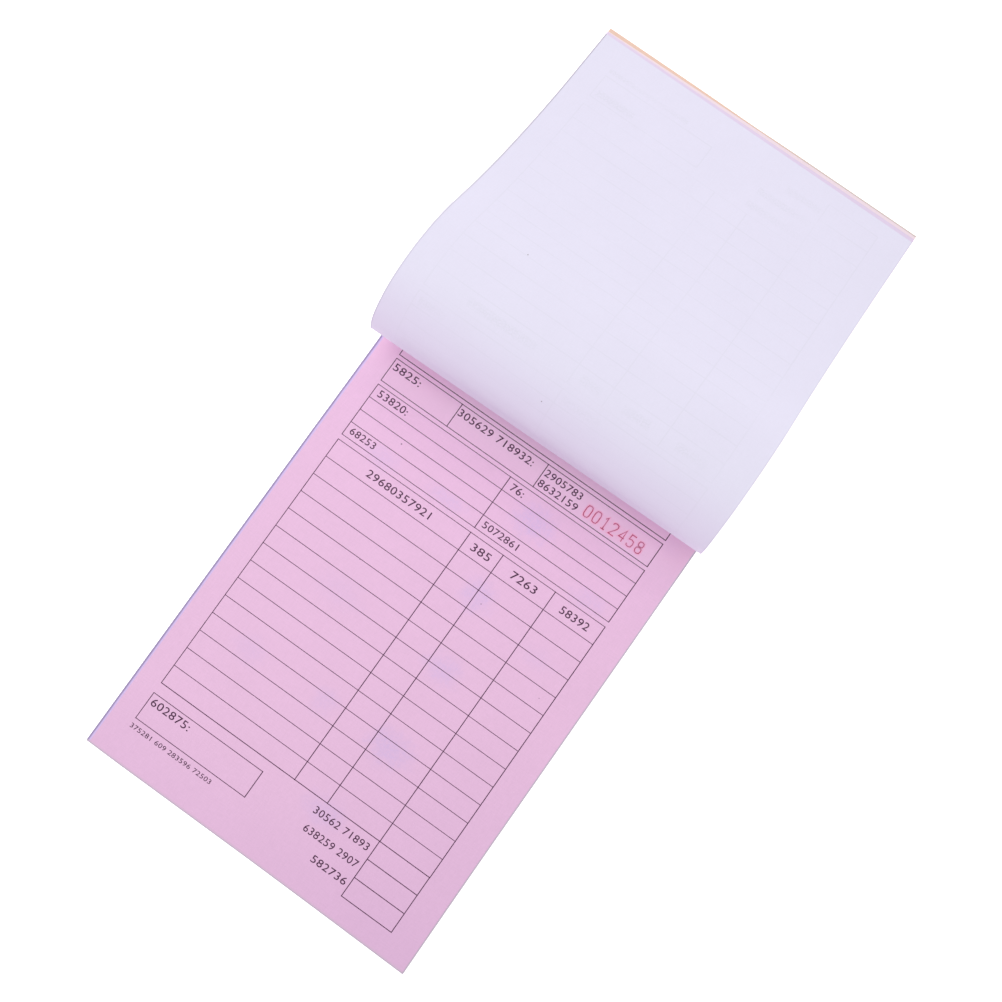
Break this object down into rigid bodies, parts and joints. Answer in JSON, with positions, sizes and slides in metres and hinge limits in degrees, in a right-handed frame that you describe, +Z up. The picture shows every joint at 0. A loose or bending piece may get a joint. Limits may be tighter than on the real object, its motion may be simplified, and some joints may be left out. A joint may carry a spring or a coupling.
{
  "type": "duplicate order book",
  "caption": "Head-bound duplicate form pad lying open: cover and top leaves turned over the stapled head in a loop, a ruled pink copy page exposed on the pad.",
  "frame": {"origin": "middle of the back board's underside, on the table", "axes": "+X to the reader's right, +Y from the page's free edge to the bound head, +Z up out of the page"},
  "size_m": [0.149, 0.3421, 0.0551],
  "materials": {
    "white_paper": "matte",
    "pink_paper": "matte",
    "cover_card": "matte",
    "grey_board": "matte",
    "binding_cloth": "matte",
    "steel_wire": "satin"
  },
  "bodies": {
    "pad": {"back_board": "grey_board", "remaining_sets": "white_paper", "pink_copy_4": "pink_paper", "white_copy_4": "white_paper", "pink_copy_3": "pink_paper", "white_copy_3": "white_paper", "pink_copy_2": "pink_paper", "white_copy_2_stub": "white_paper", "pink_copy_1_stub": "pink_paper", "white_copy_1_stub": "white_paper", "front_cover_stub": "cover_card", "binding_tape": "binding_cloth", "staple_left": "steel_wire", "staple_right": "steel_wire"},
    "fold_1": {"white_copy_2_panel_1": "white_paper", "pink_copy_1_panel_1": "pink_paper", "white_copy_1_panel_1": "white_paper", "front_cover_panel_1": "cover_card"},
    "fold_2": {"white_copy_2_panel_2": "white_paper", "pink_copy_1_panel_2": "pink_paper", "white_copy_1_panel_2": "white_paper", "front_cover_panel_2": "cover_card"},
    "fold_3": {"white_copy_2_panel_3": "white_paper", "pink_copy_1_panel_3": "pink_paper", "white_copy_1_panel_3": "white_paper", "front_cover_panel_3": "cover_card"},
    "fold_4": {"white_copy_2_panel_4": "white_paper", "pink_copy_1_panel_4": "pink_paper", "white_copy_1_panel_4": "white_paper", "front_cover_panel_4": "cover_card"},
    "fold_5": {"white_copy_2_panel_5": "white_paper", "pink_copy_1_panel_5": "pink_paper", "white_copy_1_panel_5": "white_paper", "front_cover_panel_5": "cover_card"},
    "fold_6": {"white_copy_2_panel_6": "white_paper", "pink_copy_1_panel_6": "pink_paper", "white_copy_1_panel_6": "white_paper", "front_cover_panel_6": "cover_card"},
    "fold_7": {"white_copy_2_panel_7": "white_paper", "pink_copy_1_panel_7": "pink_paper", "white_copy_1_panel_7": "white_paper", "front_cover_panel_7": "cover_card"},
    "fold_8": {"white_copy_2_panel_8": "white_paper", "pink_copy_1_panel_8": "pink_paper", "white_copy_1_panel_8": "white_paper", "front_cover_panel_8": "cover_card"}
  },
  "joints": [
    {"name": "turn_over", "type": "hinge", "parent": "pad", "child": "fold_1", "pos_m": [0, 0.099, 0.011], "axis": [1, 0, 0], "range_deg": [0, 41]},
    {"name": "loop_fold_2", "type": "hinge", "parent": "fold_1", "child": "fold_2", "pos_m": [0, 0.07636, 0.03068], "axis": [1, 0, 0], "range_deg": [0, 57.5]},
    {"name": "loop_fold_3", "type": "hinge", "parent": "fold_2", "child": "fold_3", "pos_m": [0, 0.07813, 0.04255], "axis": [1, 0, 0], "range_deg": [0, 41.5]},
    {"name": "loop_fold_4", "type": "hinge", "parent": "fold_3", "child": "fold_4", "pos_m": [0, 0.08962, 0.05219], "axis": [1, 0, 0], "range_deg": [0, 31]},
    {"name": "loop_fold_5", "type": "hinge", "parent": "fold_4", "child": "fold_5", "pos_m": [0, 0.10493, 0.05462], "axis": [1, 0, 0], "range_deg": [0, 23.5]},
    {"name": "loop_fold_6", "type": "hinge", "parent": "fold_5", "child": "fold_6", "pos_m": [0, 0.12236, 0.05011], "axis": [1, 0, 0], "range_deg": [0, 20.5]},
    {"name": "loop_fold_7", "type": "hinge", "parent": "fold_6", "child": "fold_7", "pos_m": [0, 0.15349, 0.02831], "axis": [1, 0, 0], "range_deg": [-10.5, 0]},
    {"name": "loop_fold_8", "type": "hinge", "parent": "fold_7", "child": "fold_8", "pos_m": [0, 0.19125, 0.0111], "axis": [1, 0, 0], "range_deg": [-10.5, 0]}
  ],
  "couplings": [
    {"joint": "loop_fold_2", "follows": "turn_over", "ratio": 1.4024},
    {"joint": "loop_fold_3", "follows": "turn_over", "ratio": 1.0122},
    {"joint": "loop_fold_4", "follows": "turn_over", "ratio": 0.7561},
    {"joint": "loop_fold_5", "follows": "turn_over", "ratio": 0.57317},
    {"joint": "loop_fold_6", "follows": "turn_over", "ratio": 0.5},
    {"joint": "loop_fold_7", "follows": "turn_over", "ratio": -0.2561},
    {"joint": "loop_fold_8", "follows": "turn_over", "ratio": -0.2561}
  ]
}
